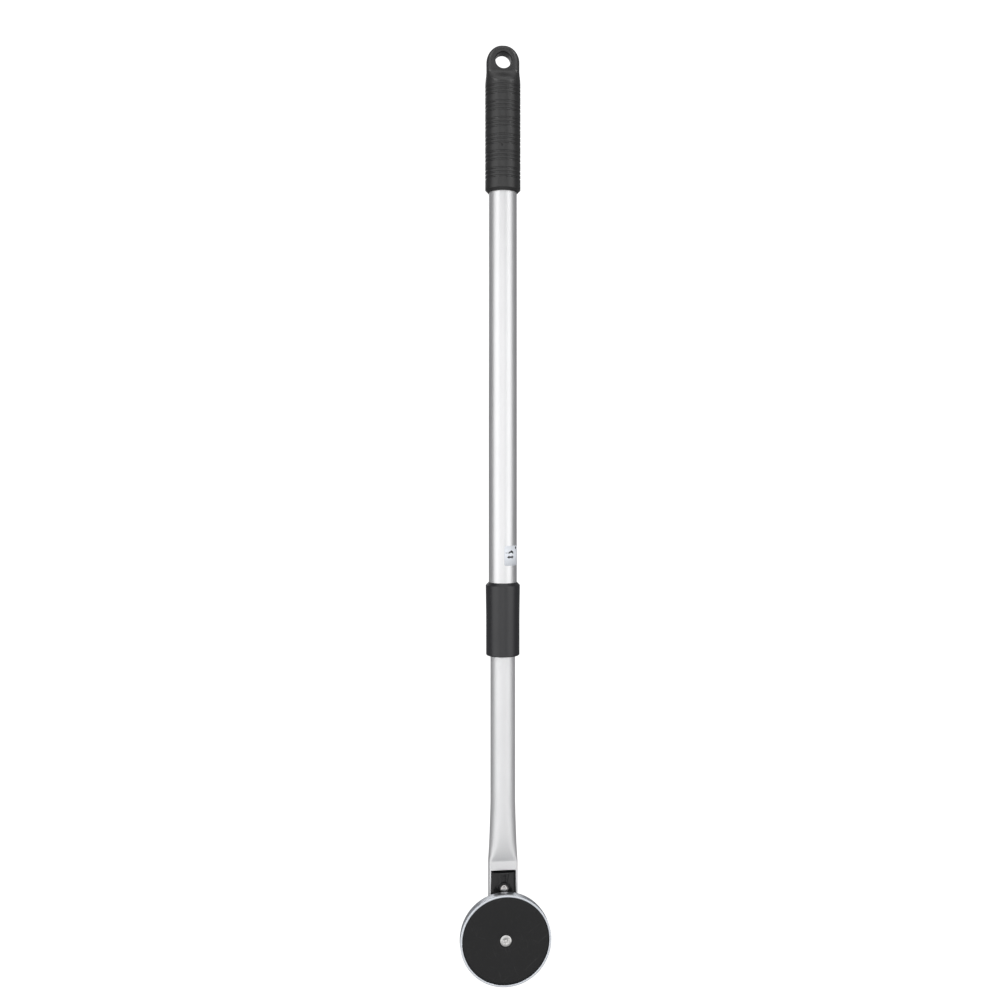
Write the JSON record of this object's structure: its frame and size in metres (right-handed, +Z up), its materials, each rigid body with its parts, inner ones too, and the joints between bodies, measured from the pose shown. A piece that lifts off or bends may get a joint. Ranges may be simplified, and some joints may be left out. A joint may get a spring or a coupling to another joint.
{
  "type": "magnetic nail sweeper",
  "caption": "Hand-held magnetic nail sweeper: telescoping aluminium pole with ribbed grip, twist-lock collar and a round pot magnet on a tilting head.",
  "frame": {"origin": "centre of the hang hole through the head of the grip", "axes": "+Z runs up the pole towards the hang hole, -Y is the side that the magnet faces when the head hangs in line with the pole, +Y is the axis of the hang hole"},
  "size_m": [0.08, 0.0408, 0.8277],
  "materials": {
    "grip_rubber": "fine matte, moulded",
    "anodised_aluminium": "satin, clear anodised",
    "label_film": "semi-gloss film with printed turn arrows",
    "lock_plastic": "fine spark-eroded grain",
    "glide_plastic": "natural acetal",
    "gloss_black_plastic": "gloss, moulded",
    "zinc_plate": "bright zinc plate, faint turning lines",
    "plain_steel": "bright zinc plate",
    "polished_chrome": "polished",
    "ferrite": "sintered, matte",
    "black_resin": "cast",
    "black_face": "fine grain"
  },
  "bodies": {
    "handle": {"grip": "grip_rubber", "upper_tube": "anodised_aluminium", "lock_label": "label_film", "collet": "lock_plastic", "collet_pins": "plain_steel"},
    "collar": {"lock_collar": "lock_plastic", "collar_end_ring": "lock_plastic"},
    "glide": {"glide_ring": "glide_plastic"},
    "lower_pole": {"lower_tube_plug": "glide_plastic", "glide_washer": "plain_steel", "glide_screw": "plain_steel", "lower_tube": "anodised_aluminium", "pivot_bolt": "plain_steel", "pivot_nut": "plain_steel", "outer_washers": "plain_steel", "inner_washers": "glide_plastic"},
    "magnet_head": {"hinge_block": "gloss_black_plastic", "stop_plate": "plain_steel", "dome_bolt": "plain_steel", "dome_washer": "plain_steel", "dome_nut": "polished_chrome", "magnet_cup": "zinc_plate", "filler_ring": "black_resin", "ring_magnet": "ferrite", "centre_pole": "plain_steel", "face_plate": "black_face", "centre_screw": "plain_steel", "centre_washer": "plain_steel", "centre_nut": "plain_steel", "foot_rivets": "plain_steel"}
  },
  "joints": [
    {"name": "collar_turn", "type": "hinge", "parent": "handle", "child": "collar", "pos_m": [0, 0, -0.4965], "axis": [0, 0, 1], "range_deg": [0, 60]},
    {"name": "telescope", "type": "slide", "parent": "handle", "child": "glide", "axis": [0, 0, -1], "range_m": [-0.125, 0.18]},
    {"name": "pole_turn", "type": "hinge", "parent": "glide", "child": "lower_pole", "pos_m": [0, 0, -0.2207], "axis": [0, 0, 1], "continuous": true},
    {"name": "head_tilt", "type": "hinge", "parent": "lower_pole", "child": "magnet_head", "pos_m": [0, 0, -0.751], "axis": [1, 0, 0], "range_deg": [0, 90]}
  ]
}
